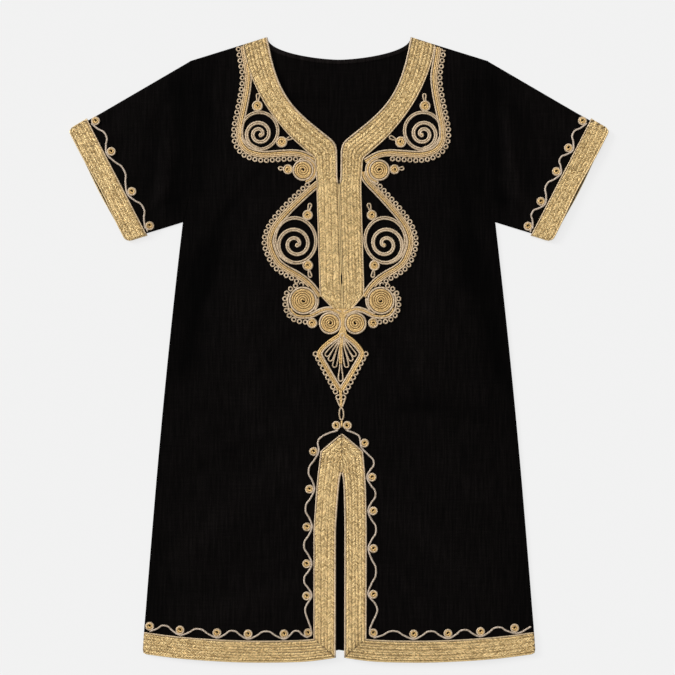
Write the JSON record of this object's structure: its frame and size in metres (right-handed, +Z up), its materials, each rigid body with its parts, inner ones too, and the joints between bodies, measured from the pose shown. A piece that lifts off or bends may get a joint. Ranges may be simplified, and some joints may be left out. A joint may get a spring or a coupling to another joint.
{
  "type": "child's gandoura",
  "caption": "Short-sleeved knee-length cotton tunic laid flat, front up, with plaited braid and couched cord scrolls at neck, placket, vent, hem and cuffs.",
  "frame": {"origin": "on the surface the garment lies on, below the middle of its bounding box", "axes": "+Z up off the surface, +Y towards the neck, +X towards the sleeve on the viewer's right"},
  "size_m": [0.6752, 0.7799, 0.009],
  "materials": {
    "cotton": "matt slubby plain weave",
    "braid": "gold plaited braid with a soft metallic sheen",
    "cord": "gold couching cord with a soft sheen"
  },
  "bodies": {
    "root": {"front": "cotton", "back": "cotton", "sleeve_left": "cotton", "sleeve_right": "cotton", "neck_band_left": "braid", "neck_band_right": "braid", "vent_band_left": "braid", "vent_band_right": "braid", "hem_band_left": "braid", "hem_band_right": "braid", "hem_band_back": "braid", "cuff_band_left": "braid", "cuff_band_right": "braid", "scroll_upper_left": "cord", "scroll_upper_right": "cord", "scroll_lower_left": "cord", "scroll_lower_right": "cord", "rosette_left": "cord", "rosette_right": "cord", "pendant": "cord", "link": "cord", "vent_cord_left": "cord", "vent_cord_right": "cord", "hem_cord_left": "cord", "hem_cord_right": "cord", "cuff_cord_left": "cord", "cuff_cord_right": "cord"}
  },
  "joints": []
}
